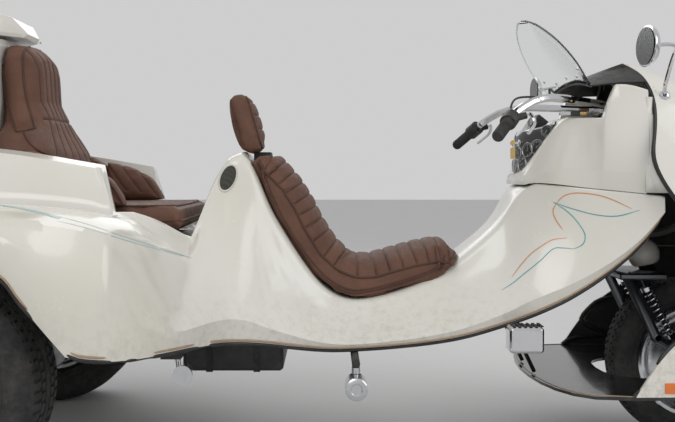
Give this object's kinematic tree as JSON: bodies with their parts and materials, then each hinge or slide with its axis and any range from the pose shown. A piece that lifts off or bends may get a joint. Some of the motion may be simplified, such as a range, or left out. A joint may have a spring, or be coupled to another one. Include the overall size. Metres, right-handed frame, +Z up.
{
  "type": "motor trike",
  "caption": "Rear-engined motor trike with a one-piece fibreglass body, brown leather seats, a wrap-round nose with windscreen and a steered front wheel in a leading-link fork.",
  "frame": {"origin": "on the ground at the middle of the overall length and width", "axes": "+X to the trike's front, +Y to its left side, +Z up"},
  "size_m": [3.5, 1.74, 1.525],
  "materials": {
    "cream_gelcoat": "glossy fibreglass, slightly aged",
    "brown_leather": "worn satin leather",
    "chrome": "polished",
    "chassis_black": "satin black paint",
    "black_gloss": "glossy black",
    "black_plastic": "matt black",
    "cream_paint": "gloss paint",
    "grip_rubber": "ribbed rubber",
    "tyre": "worn tread",
    "alloy": "polished alloy",
    "engine_alloy": "cast alloy",
    "screen": "clear acrylic",
    "lamp_lens": "ribbed clear lens",
    "red_lens": "glossy red lens",
    "cable": "black cable sleeve"
  },
  "bodies": {
    "trike": {"battery_box": "black_plastic", "body_shell": "cream_gelcoat", "chassis": "chassis_black", "dash_housing": "cream_gelcoat", "dash_panel": "black_gloss", "engine_block": "engine_alloy", "exhaust_left": "chrome", "exhaust_right": "chrome", "foot_pedal_left": "chrome", "foot_pedal_right": "chrome", "headlamp_left": "lamp_lens", "headlamp_right": "lamp_lens", "mirror_left": "chrome", "mirror_right": "chrome", "nose_floor": "black_gloss", "nose_lower": "cream_gelcoat", "nose_upper": "cream_gelcoat", "passenger_backrest": "brown_leather", "passenger_cushion": "brown_leather", "rear_axle": "engine_alloy", "rear_bumper": "chrome", "rider_headrest": "brown_leather", "rider_seat": "brown_leather", "screen_cowl": "black_plastic", "seat_bolster_left": "brown_leather", "seat_bolster_right": "brown_leather", "steering_head": "cream_paint", "tail_lamp_left": "red_lens", "tail_lamp_right": "red_lens", "trunk_floor": "black_plastic", "windscreen": "screen"},
    "steering": {"fork": "chrome", "handlebar": "chrome", "switch_housing_left": "black_plastic", "switch_housing_right": "black_plastic", "grip_left": "grip_rubber", "grip_right": "grip_rubber", "lever_left": "chrome", "lever_right": "chrome", "control_cable": "cable"},
    "front_wheel": {"front_tyre": "tyre", "front_rim": "alloy"},
    "rear_wheel_left": {"rear_tyre_left": "tyre", "rear_rim_left": "alloy"},
    "rear_wheel_right": {"rear_tyre_right": "tyre", "rear_rim_right": "alloy"},
    "trunk_lid": {"trunk_lid": "cream_gelcoat"}
  },
  "joints": [
    {"name": "steering", "type": "hinge", "parent": "trike", "child": "steering", "pos_m": [1.13, 0, 0.65], "axis": [-0.2588, 0, 0.9659], "range_deg": [-22, 22]},
    {"name": "front_wheel_spin", "type": "hinge", "parent": "steering", "child": "front_wheel", "pos_m": [1.29, 0, 0.29], "axis": [0, 1, 0], "continuous": true},
    {"name": "rear_wheel_spin_left", "type": "hinge", "parent": "trike", "child": "rear_wheel_left", "pos_m": [-1.14, 0.665, 0.34], "axis": [0, 1, 0], "continuous": true},
    {"name": "rear_wheel_spin_right", "type": "hinge", "parent": "trike", "child": "rear_wheel_right", "pos_m": [-1.14, -0.665, 0.34], "axis": [0, 1, 0], "continuous": true},
    {"name": "trunk_lid_hinge", "type": "hinge", "parent": "trike", "child": "trunk_lid", "pos_m": [-1.705, 0, 1.4206], "axis": [0, -1, 0], "range_deg": [0, 75]}
  ]
}
